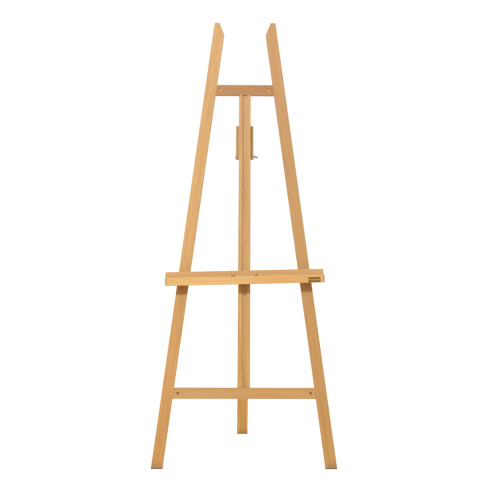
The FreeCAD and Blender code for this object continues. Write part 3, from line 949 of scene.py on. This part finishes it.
@dataclass(frozen=True)
class Recessed:
    """A turned screw, bolt or nut with a tool recess in its face.

    The tail gives radius and height above the tip, the head radius and height from the face.
    """

    tail_mm: tuple[tuple[float, float], ...]
    head_mm: tuple[tuple[float, float], ...]
    kind: Recess
    reach_mm: float
    arm_mm: float
    depth_mm: float
    segments: int = 32

    def shell(self, length_mm: float) -> Shell:
        """Turn the profile and sink the recess into its face.

        Rings of the profile run up to the face, then come rings with the recess's outline: level with
        the face, just inside it, and at its floor, drawn in a little as a worn tool's mark is.

        Args:
            length_mm: from the tip to the face.

        Returns:
            The shell, with its face at height 0.
        """
        outline = recess_outline(self.kind, self.reach_mm, self.arm_mm, directions(self.segments))
        profile = [(radius, height - length_mm) for radius, height in self.tail_mm] + list(self.head_mm)
        rings = [np.full(self.segments, radius) for radius, _ in profile]
        rings += [outline * 1.04, outline, outline * 0.8]
        heights = [height for _, height in profile] + [0.0, -0.15, -self.depth_mm]
        return Shell.turned(np.stack(rings) * MM, np.array(heights) * MM)


@dataclass(frozen=True)
class CarriageBolt:
    """A bolt with a mushroom head, a square neck that bites the wood, and a cut thread."""

    shank_mm: float
    head_mm: float
    crown_mm: float
    neck_mm: float
    neck_length_mm: float
    thread_length_mm: float
    pitch_mm: float
    segments: int = 32

    def thread(self, heights: np.ndarray) -> np.ndarray:
        """Radii of the thread.

        The radius is the shank's less the depth times a triangle wave of the height over the pitch
        less the angle over a full turn.

        Args:
            heights: heights along the axis.

        Returns:
            The radius at each height and angle.
        """
        turns = directions(self.segments)[None] / (2 * math.pi)
        phase = (heights[:, None] / self.pitch_mm - turns) % 1.0
        return self.shank_mm - self.pitch_mm * 0.55 * np.abs(2.0 * phase - 1.0)

    def shell(self, length_mm: float) -> Shell:
        """Build the bolt, with the top of its crown at height 0.

        Rows run from the tail up.  The crown's radius is the head's times the square root of one less
        the square of the height over the crown's, and the neck is a square with rounded corners.

        Args:
            length_mm: from the tail to the top of the crown.

        Returns:
            The shell.
        """
        angle = directions(self.segments)
        circle = np.ones(self.segments)
        tail = -length_mm
        cut = np.arange(tail + 1.2, tail + self.thread_length_mm, self.pitch_mm / 4)
        flat = np.maximum(np.abs(np.cos(angle)), np.abs(np.sin(angle)))
        square = np.minimum(self.neck_mm / flat, self.neck_mm * 1.3)
        neck_top = -self.crown_mm
        neck_foot = neck_top - self.neck_length_mm
        climb = np.linspace(0.0, 1.0, 9)
        crown_height = self.crown_mm * 0.75
        dome = self.head_mm * np.sqrt(np.clip(1 - (climb * 0.97) ** 2, 0, 1))
        nose = np.outer([self.shank_mm * 0.72, self.shank_mm * 0.84], circle)
        brim = np.outer([self.head_mm * 0.97, self.head_mm], circle)
        shank = np.outer([self.shank_mm] * 2, circle)
        rows = [nose, self.thread(cut), shank, np.stack([square] * 2), brim, np.outer(dome, circle)]
        heights = [
            np.array([tail, tail + 0.6]),
            cut,
            np.array([cut[-1] + self.pitch_mm, neck_foot - 0.6]),
            np.array([neck_foot, neck_top]),
            np.array([neck_top, neck_top + self.crown_mm * 0.1]),
            -crown_height + climb * crown_height,
        ]
        return Shell.turned(np.concatenate(rows) * MM, np.concatenate(heights) * MM)


@dataclass(frozen=True)
class WingNut:
    """A forged wing nut: a waisted hub with two rounded ears swept up from it."""

    bore_mm: float
    hub_mm: float
    hub_height_mm: float
    span_mm: float

    def hub(self) -> Shell:
        """The hub, a closed profile turned about the bore."""
        top, hub, bore = self.hub_height_mm, self.hub_mm, self.bore_mm
        inside = ((bore, 0.5), (bore + 0.5, 0.0))
        waist = ((hub - 0.5, 0.0), (hub, 0.6), (hub * 0.97, top * 0.3), (hub * 0.86, top * 0.62))
        crown = ((hub * 0.8, top * 0.93), (hub * 0.74, top), (bore + 0.4, top), (bore, top - 0.4))
        return Shell.ringed((*inside, *waist, *crown), 28)

    def ear(self, side: float) -> Shell:
        """One ear, a row of flattened ovals along a curve.

        The middle line rises with the square of the way out.  The oval's height grows to its widest
        at two thirds of the way and closes with a round end; its thickness tapers evenly.

        Args:
            side: -1 or 1.

        Returns:
            The closed ear.
        """
        along = np.sin(np.linspace(0.0, 1.0, 15) * math.pi / 2)
        around = directions(16)
        tall = self.hub_height_mm * 0.5
        start = self.hub_mm * 0.55
        centre_x = start + along * (self.span_mm / 2 - start)
        centre_z = self.hub_height_mm * (0.55 + 0.8 * along**2)
        height = tall * (0.78 + 0.3 * along) * np.sqrt(np.clip(1.0 - along**6, 0.0, 1.0)) + 0.05
        taper = self.hub_mm * (0.3 * (1 - along) + 0.17)
        thick = taper * np.sqrt(np.clip(1.0 - along**10, 0.0, 1.0)) + 0.04
        points = np.empty((len(along), len(around), 3))
        points[..., 0] = side * (centre_x[:, None] - 0.35 * height[:, None] * np.cos(around) * along[:, None])
        points[..., 1] = side * thick[:, None] * np.sin(around)
        points[..., 2] = centre_z[:, None] + height[:, None] * np.cos(around)
        return Shell.capped(points[:, ::-1] * MM)

    def shell(self) -> Shell:
        """The whole nut, standing on its seat at height 0."""
        return join([self.hub(), self.ear(1.0), self.ear(-1.0)])


@dataclass(frozen=True)
class Washer:
    """A stamped washer: one edge rolled over by the punch, the other crisp."""

    bore_mm: float
    outer_mm: float
    thickness_mm: float = 1.6

    def shell(self) -> Shell:
        """The washer, its top face at height 0."""
        low, roll, outer, bore = -self.thickness_mm, self.thickness_mm * 0.28, self.outer_mm, self.bore_mm
        rim = ((bore, low), (outer, low), (outer, -roll), (outer - roll * 0.4, -roll * 0.3))
        face = ((outer - roll * 1.2, 0.0), (bore + roll, 0.0), (bore, -roll * 0.7))
        return Shell.ringed((*rim, *face), 40)


@dataclass(frozen=True)
class RimmedPlate:
    """A blank stamped plate: a raised rim round a sunk field, with rounded corners."""

    width_mm: float
    height_mm: float
    thickness_mm: float
    corner_mm: float = 2.0
    rim_mm: float = 1.3
    steps: int = 7

    def outline(self, inset: float) -> np.ndarray:
        """The plate's outline, moved in by a distance.

        Four quarter circles of the corner's radius less the inset, joined by straight lines.

        Args:
            inset: how far in, in millimetres.

        Returns:
            Points by two coordinates, anticlockwise.
        """
        radius = max(self.corner_mm - inset, 0.25)
        quarter = np.linspace(0, math.pi / 2, self.steps)
        turns = np.arange(4)[:, None] * math.pi / 2
        angle = (turns + quarter[None]).ravel()
        signs = np.array([(1, 1), (-1, 1), (-1, -1), (1, -1)]).repeat(self.steps, axis=0)
        reach = np.array([self.width_mm, self.height_mm]) / 2 - inset - radius
        return signs * reach + radius * np.stack([np.cos(angle), np.sin(angle)], axis=-1)

    def shell(self) -> Shell:
        """The plate, its rim's top at height 0, X along its width."""
        thick, rim = self.thickness_mm, self.rim_mm
        edge = ((0.0, -thick), (0.0, -thick * 0.35), (0.22, -thick * 0.06), (0.5, 0.0))
        field = ((rim, 0.0), (rim + 0.35, -thick * 0.45), (rim + 1.2, -thick * 0.5))
        rings = []
        for inset, height in (*edge, *field):
            outline = self.outline(inset)
            rings.append(np.column_stack([outline, np.full(len(outline), height)]))
        return Shell.capped(np.stack(rings) * MM)


# ---- sub-assemblies ------------------------------------------------------------------------
RAW_BEECH = OiledBeech("turned_beech_dowel", "cfb37e", "bb965e", "84562a")
WOOD_SCREW = Recessed(
    tail_mm=((0.2, 0.0), (1.3, 2.2), (1.95, 4.0)),
    head_mm=((1.95, -2.7), (3.95, -0.1), (3.8, 0.0)),
    kind=Recess.CROSS, reach_mm=2.5, arm_mm=0.55, depth_mm=1.6,
)
SCREW_TURN = 20.0
NECK_TURN = 45.0


def dress_boards(
    beech: OiledBeech, tones: dict[str, Tone], first_seed: int, along: Vector | None = None
) -> None:
    """Dress boards that share one finish, each with its own tone and stretch of grain.

    The lower ends of the boards named as legs stand on the floor.

    Args:
        beech: the finish.
        tones: each node's tone, in the order of their seeds.
        first_seed: the first node's seed.
        along: the way the grain runs, where the shapes don't show it.
    """
    for seed, (node, tone) in enumerate(tones.items(), first_seed):
        board = Board.read(node, along)
        dress_node(node, beech.dress(board, tone, seed, on_floor=node.endswith("_leg")))


@dataclass(frozen=True)
class StandingFrame:
    """The legs, crossbars and mast, the bolts, barrel nuts and dowels that hold them, and the pads."""

    beech: OiledBeech = OiledBeech("oiled_beech", "b18c4d", "9c7132", "74491f")
    rubber: MouldedRubber = MouldedRubber()
    bolt: Recessed = Recessed(
        tail_mm=((2.2, 0.0), (2.95, 0.8)),
        head_mm=((2.95, -3.5), (6.6, -3.5), (7.0, -3.1), (7.0, -0.5), (6.5, 0.0)),
        kind=Recess.HEXAGON, reach_mm=2.3, arm_mm=0.0, depth_mm=2.5, segments=36,
    )
    barrel: Recessed = Recessed(
        tail_mm=((4.6, 0.0), (5.0, 0.5)),
        head_mm=((5.0, -0.5), (4.6, 0.0)),
        kind=Recess.SLOT, reach_mm=4.2, arm_mm=0.6, depth_mm=1.3, segments=40,
    )
    barrel_turn: float = 12.0

    def build(self, steel: Material, yellow_steel_painted_light: Material, painted_shade_steel: Material) -> None:
        """Dress the boards and make the fasteners.

        Args:
            steel: the leg bolts' finish.
            yellow_steel_painted_light: the upper barrel nuts' finish, with a painted highlight on the face
                and painted dark reflection on the flanks.
            painted_shade_steel: the lower barrel nuts' finish, dark as painted shade in their holes.
        """
        tones = {
            "left_leg": Tone((0.93, 0.93, 0.85), (1.05, 1.17, 1.30)),
            "right_leg": Tone((0.84, 0.88, 0.84), (0.88, 0.90, 0.98)),
            "upper_crossbar": Tone((0.69, 0.57, 0.24)),
            "lower_crossbar": Tone((0.86, 0.93, 1.00), (0.90, 0.93, 1.05)),
            "mast": Tone((0.98, 1.06, 1.10), (1.00, 1.10, 1.40)),
            "rear_leg": Tone((1.00, 1.10, 1.20), (1.00, 1.08, 1.15)),
        }
        dress_boards(self.beech, tones, 1)
        dress_boards(RAW_BEECH, {"leg_dowels": Tone()}, 31, SIDEWAYS)
        # The lower barrel nuts' dark finish is painted shade, the shadow in their sunk holes.
        for level, nut_finish in (("upper", yellow_steel_painted_light), ("lower", painted_shade_steel)):
            bolts = Hardware(f"{level}_leg_bolts", "frame", steel, SIDEWAYS, mirrored=True)
            bolts.build(self.bolt.shell(bolts.length_mm()), turn=0.0)
            nuts = Hardware(f"{level}_barrel_nuts", "frame", nut_finish, FRAME_FRONT, slot=Slot.BARREL)
            nuts.build(self.barrel.shell(nuts.length_mm()), turn=self.barrel_turn)
        rubber = self.rubber.make()
        for leg in ("left", "right", "rear"):
            dress_node(f"{leg}_foot_pad", rubber)


@dataclass(frozen=True)
class Hinge:
    """The cheeks and block behind the mast, their screws, and the bolt that the rear leg turns on."""

    beech: OiledBeech = OiledBeech("oiled_beech_hinge", "916e33", "775725", "5a3d1a")
    bolt: CarriageBolt = CarriageBolt(
        shank_mm=4.0, head_mm=8.9, crown_mm=4.0, neck_mm=4.1,
        neck_length_mm=5.5, thread_length_mm=34.0, pitch_mm=1.25,
    )
    washer: Washer = Washer(bore_mm=4.25, outer_mm=8.0)
    nut: WingNut = WingNut(bore_mm=4.06, hub_mm=7.0, hub_height_mm=9.0, span_mm=36.0)

    def build(self, steel: Material) -> None:
        """Dress the boards and make the screws, bolt, washer and wing nut.

        Args:
            steel: the hardware's finish.
        """
        tones = {
            "left_hinge_cheek": Tone((1.40, 1.55, 1.75)), "right_hinge_cheek": Tone((1.15, 1.25, 1.30))
        }
        dress_boards(self.beech, tones, 11)
        dress_boards(self.beech, {"hinge_block": Tone()}, 13, MAST_UP)
        screws = Hardware("cheek_screws", "frame", steel, SIDEWAYS, mirrored=True)
        screws.build(WOOD_SCREW.shell(screws.length_mm()), turn=SCREW_TURN)
        bolt = Hardware("hinge_bolt", "frame", steel, -SIDEWAYS)
        bolt.build(self.bolt.shell(bolt.length_mm()), turn=NECK_TURN)
        Hardware("hinge_washer", "frame", steel, SIDEWAYS).build(self.washer.shell(), turn=0.0)
        Hardware("hinge_wing_nut", "hinge_nut", steel, SIDEWAYS).build(self.nut.shell(), from_seat=True)


@dataclass(frozen=True)
class Tray:
    """The tray's boards, the bolts that clamp it to the mast, its screws and dowels, and the peg."""

    beech: OiledBeech = OiledBeech("oiled_beech_tray", "c09d56", "af8442", "84562a")
    bolt: CarriageBolt = CarriageBolt(
        shank_mm=3.0, head_mm=6.4, crown_mm=3.0, neck_mm=3.1,
        neck_length_mm=4.0, thread_length_mm=26.0, pitch_mm=1.0,
    )
    washer: Washer = Washer(bore_mm=3.25, outer_mm=6.0)
    nut: WingNut = WingNut(bore_mm=3.06, hub_mm=5.5, hub_height_mm=7.0, span_mm=28.0)

    def build(self, steel: Material, yellow_steel_painted_light: Material) -> None:
        """Dress the boards and make the fasteners.

        Args:
            steel: the finish of what sits behind the tray.
            yellow_steel_painted_light: the tray bolts' finish, with a painted highlight on the crown and
                painted dark reflection on the flanks.
        """
        tones = {
            "tray_back_board": Tone((0.90, 0.86, 0.98), (0.87, 0.88, 1.12)),
            "tray_ledge": Tone(),
            "tray_lip": Tone((0.95, 1.06, 1.25), (0.97, 1.02, 1.25)),
            "clamp_bar": Tone(),
        }
        dress_boards(self.beech, tones, 21)
        dress_boards(RAW_BEECH, {"lip_dowels": Tone(), "guide_peg": Tone()}, 32, FRAME_FRONT)
        bolts = Hardware("tray_bolts", "tray", yellow_steel_painted_light, FRAME_FRONT)
        bolts.build(self.bolt.shell(bolts.length_mm()), turn=NECK_TURN)
        Hardware("tray_washers", "tray", steel, -FRAME_FRONT).build(self.washer.shell(), turn=0.0)
        for side in ("left", "right"):
            nut = Hardware(f"{side}_tray_wing_nut", f"{side}_tray_nut", steel, -FRAME_FRONT)
            nut.build(self.nut.shell(), from_seat=True)
        screws = Hardware("ledge_screws", "tray", steel, -FRAME_FRONT)
        screws.build(WOOD_SCREW.shell(screws.length_mm()), turn=SCREW_TURN)


@dataclass(frozen=True)
class Nameplate:
    """The blank plate on the lip and its two pins."""

    # Antiqued bronze gives a dull gold band with darker borders, and turned brass two warm points.
    bronze: PlatedMetal = PlatedMetal(
        "antiqued_bronze_plate", "8f7440", "7a6030", 0.42, patina="5c4318", band_mm=5.0
    )
    brass: PlatedMetal = PlatedMetal("turned_brass_pin", "b8954c", "8c6a30", 0.3)
    pin_tail_mm: tuple[tuple[float, float], ...] = ((1.0, 0.0), (1.08, 0.3))
    pin_head_mm: tuple[tuple[float, float], ...] = (
        (1.08, -0.9), (1.74, -0.88), (1.74, -0.55), (1.55, -0.28), (1.15, -0.08), (0.5, 0.0)
    )

    def build(self) -> None:
        """Make the plate, square to the lip, and its pins."""
        lip = Board.read("tray_lip")
        along = lip.axes[2] * lip.rising()
        up = FRAME_FRONT.cross(along)
        points = islands("nameplate")[0] @ np.stack([along, up, FRAME_FRONT], axis=-1)
        size = (points.max(axis=0) - points.min(axis=0)) / MM
        seat = Seat.find("nameplate", FRAME_FRONT)[0]
        plate = RimmedPlate(*map(float, size)).shell()
        plate = plate.placed(seat.outer_end, FRAME_FRONT, seat.spin_to(along))
        make_piece("nameplate", plate, self.bronze.make(up, seat.outer_end), "tray")
        pins = Hardware("plate_pins", "tray", self.brass.make(), FRAME_FRONT, slot=Slot.PIN)
        profile = [(radius, height - pins.length_mm()) for radius, height in self.pin_tail_mm]
        radii, heights = np.array([*profile, *self.pin_head_mm]).T * MM
        pins.build(Shell.turned(np.outer(radii, np.ones(20)), heights), turn=0.0)


# ---- studio --------------------------------------------------------------------------------
@dataclass(frozen=True)
class Studio:
    """A white cove with a soft sun from the front left and even fill."""

    floor_radius: float = 9.0
    floor_thickness: float = 0.02
    wall_radius: float = 14.0
    paper: str = "f4f3f0"
    floor_glow: float = 0.97
    wall_glow: float = 1.05
    key_from: tuple[float, float] = (-15.0, 33.1)
    key_strength: float = 2.35
    key_colour: tuple[float, float, float] = (0.9, 0.98, 1.0)
    key_width_degrees: float = 5.0
    fill_strength: float = 1.09
    fill_colour: tuple[float, float, float] = (1.0, 0.667, 0.452)

    def build(self) -> None:
        """Make the floor, the white surround, the key light and the fill."""
        self.build_floor()
        self.build_surround()
        self.build_key()
        self.build_fill()

    def add_sheet(self, name: str, shell: Shell, glow: float, paint: float) -> bpy.types.Object:
        """Add one sheet of lit paper, seen directly and in shiny metal only.

        Args:
            name: the sheet's name.
            shell: its points and faces.
            glow: how much light it gives off.
            paint: how much of the falling light it gives back.

        Returns:
            The new object.
        """
        material, tree = new_material(f"lit_white_{name}")
        settings = {"Base Color": linear(self.paper, paint), "Roughness": 0.95, "Specular IOR Level": 0.0}
        settings |= {"Emission Color": (1.0, 1.0, 1.0, 1.0), "Emission Strength": glow}
        shader = add_node(tree, Kind.SURFACE, settings)
        add_node(tree, Kind.OUTPUT, {"Surface": shader.outputs[0]})
        sheet = add_mesh(name, shell, material)
        sheet.visible_diffuse = False
        return sheet

    def build_floor(self) -> None:
        """A thin round floor, its top at height 0."""
        radii = np.full((2, 96), self.floor_radius)
        shell = Shell.turned(radii, np.array([-self.floor_thickness, 0.0]))
        self.add_sheet("paper_floor", shell, self.floor_glow, 0.3)

    def build_surround(self) -> None:
        """A white ball far outside, which casts no shadow and lights nothing."""
        climb = np.linspace(-math.pi / 2 * 0.98, math.pi / 2 * 0.98, 33)
        radii = np.outer(self.wall_radius * np.cos(climb), np.ones(64))
        shell = Shell.turned(radii, self.wall_radius * np.sin(climb))
        self.add_sheet("white_surround", shell, self.wall_glow, 0.0).visible_shadow = False

    def build_key(self) -> None:
        """The key light, from the front left and above."""
        light = bpy.data.lights.new("key_light", "SUN")
        light.energy = self.key_strength
        light.angle = math.radians(self.key_width_degrees)
        light.color = self.key_colour
        lamp = bpy.data.objects.new("key_light", light)
        side, climb = (math.radians(value) for value in self.key_from)
        towards = Vector((math.sin(side), -math.cos(side), math.tan(climb))).normalized()
        lamp.rotation_euler = towards.to_track_quat("Z", "Y").to_euler()
        lamp.location = towards * 4.0
        bpy.context.scene.collection.objects.link(lamp)

    def build_fill(self) -> None:
        """Even warm light from all round, as wooden furniture and pale walls throw back."""
        world = bpy.data.worlds.new("studio_fill")
        world.use_nodes = True
        background = world.node_tree.nodes["Background"]
        background.inputs["Color"].default_value = (*self.fill_colour, 1.0)
        background.inputs["Strength"].default_value = self.fill_strength
        bpy.context.scene.world = world


@dataclass(frozen=True)
class Camera:
    """A long lens a little left of the easel's middle, tipped slightly down.

    Places are in metres and angles in radians.
    """

    stand_off: float = 5.485
    side: float = -0.07375
    height: float = 1.33275
    turn: float = 0.016835
    tip: float = 0.086286
    roll: float = 0.0052
    lens_mm: float = 103.03
    sensor_mm: float = 36.0

    def build(self) -> None:
        """Place the camera by its distance from the front feet."""
        data = bpy.data.cameras.new("camera")
        data.lens = self.lens_mm
        data.sensor_width = self.sensor_mm
        data.clip_end = 100.0
        camera = bpy.data.objects.new("camera", data)
        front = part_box("left_foot_pad")[0].y
        camera.location = (self.side, front - self.stand_off, self.height)
        looking = Euler((math.pi / 2 - self.tip, 0.0, -self.turn)).to_matrix()
        camera.rotation_euler = (looking @ Euler((0.0, 0.0, self.roll)).to_matrix()).to_euler()
        bpy.context.scene.collection.objects.link(camera)
        bpy.context.scene.camera = camera


def main() -> None:
    """Build the easel's looks, the studio and the camera."""
    logging.basicConfig(level=logging.INFO, format="%(name)s: %(message)s")
    bpy.context.scene.view_settings.view_transform = "Standard"
    # Bright zinc gives a cool, pale, even satin.
    steel = PlatedMetal("zinc_plated_steel", "d8d6cf", "a8a59c", 0.36).make()
    # Yellow passivation over zinc gives a straw colour; the brighter crown is a painted highlight and the
    # brown flanks a painted reflection of the dark wood around.
    yellow_painted_light = PlatedMetal("yellow_passivated_steel_painted_light", "b98d58", "9a7342", 0.5, patina="7a5226")
    yellow_steel_painted_light = yellow_painted_light.make(facing=FRAME_FRONT)
    # Dark, dull steel for the lower barrel nuts: painted shade, standing in for the shadow in their sunk
    # holes.
    painted_shade_steel = PlatedMetal("painted_shade_steel", "8f6a2c", "6e4c1e", 0.5).make()
    StandingFrame().build(steel, yellow_steel_painted_light, painted_shade_steel)
    Hinge().build(steel)
    Tray().build(steel, yellow_steel_painted_light)
    Nameplate().build()
    Studio().build()
    Camera().build()


if __name__ == "__main__":
    main()
